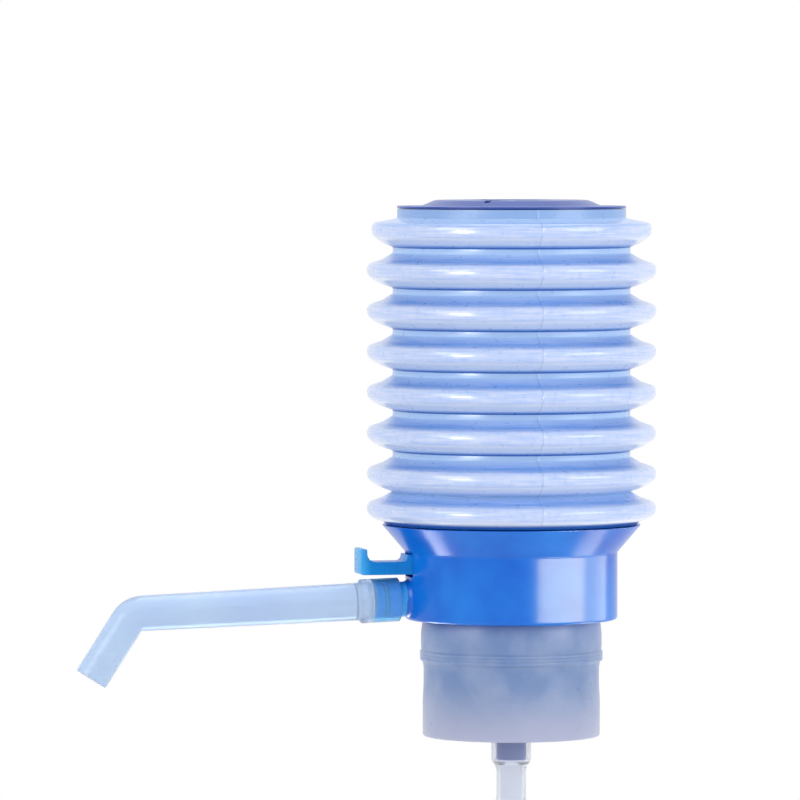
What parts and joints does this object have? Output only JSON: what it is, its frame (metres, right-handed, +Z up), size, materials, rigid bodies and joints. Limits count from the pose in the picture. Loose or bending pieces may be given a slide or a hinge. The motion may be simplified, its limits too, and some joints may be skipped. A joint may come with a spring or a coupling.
{
  "type": "water bottle hand pump",
  "caption": "Bellows hand pump for large water bottles: press bellows on a valve housing, push-on bent spout, pressure release lever, neck collar and jointed dip tube.",
  "frame": {"origin": "on the pump's axis, in the plane of the gasket's lower face, where the rim of the bottle seats", "axes": "+Z up along the pump's axis towards the press cap; -X along the spout and the release lever"},
  "size_m": [0.1987, 0.0988, 0.6249],
  "materials": {
    "blue_plastic": "glossy translucent",
    "dark_blue_plastic": "glossy",
    "pale_blue_plastic": "satin translucent",
    "milky_plastic": "milky translucent",
    "clear_blue_plastic": "clear",
    "clear_tube": "clear",
    "cyan_plastic": "glossy",
    "grey_rubber": "matte",
    "steel": "bright"
  },
  "bodies": {
    "pump_base": {"housing": "blue_plastic", "mounting_collar": "milky_plastic", "seat_gasket": "grey_rubber", "riser_pipe": "blue_plastic", "riser_seal": "grey_rubber", "dip_tube_upper": "clear_tube", "dip_tube_middle": "clear_tube", "dip_tube_lower": "clear_tube", "valve_plate": "blue_plastic", "valve_plate_seal": "grey_rubber", "bellows_clamp_ring": "blue_plastic", "bellows": "pale_blue_plastic", "spout_seal": "grey_rubber", "lever_pin": "steel", "lever_spring": "steel"},
    "press_top": {"press_cap": "dark_blue_plastic", "cap_seal": "grey_rubber"},
    "inlet_flap": {"inlet_valve": "grey_rubber", "inlet_valve_clip": "dark_blue_plastic"},
    "outlet_flap": {"outlet_valve": "grey_rubber", "outlet_valve_clip": "blue_plastic"},
    "lever": {"release_lever": "cyan_plastic", "vent_pad": "grey_rubber"},
    "spout_arm": {"spout": "clear_blue_plastic"}
  },
  "joints": [
    {"name": "press_stroke", "type": "slide", "parent": "pump_base", "child": "press_top", "axis": [0, 0, -1], "range_m": [0, 0.06], "stiffness_N_per_m": 350, "springref_m": -0.012, "deforming": ["bellows"]},
    {"name": "inlet_valve_lift", "type": "slide", "parent": "press_top", "child": "inlet_flap", "axis": [0, 0, -1], "range_m": [0, 0.001], "stiffness_N_per_m": 100, "springref_m": -0.002},
    {"name": "outlet_valve_lift", "type": "slide", "parent": "pump_base", "child": "outlet_flap", "axis": [0, 0, -1], "range_m": [0, 0.001], "stiffness_N_per_m": 100, "springref_m": -0.002},
    {"name": "lever_press", "type": "hinge", "parent": "pump_base", "child": "lever", "pos_m": [-0.033, 0, 0.0322], "axis": [0, -1, 0], "range_deg": [0, 4], "stiffness_Nm_per_rad": 1, "springref_deg": -1.72, "deforming": ["lever_spring"]},
    {"name": "spout_swivel", "type": "hinge", "parent": "pump_base", "child": "spout_arm", "pos_m": [0, 0, 0.0219], "axis": [-0.9992, 0, -0.0401], "continuous": true}
  ]
}
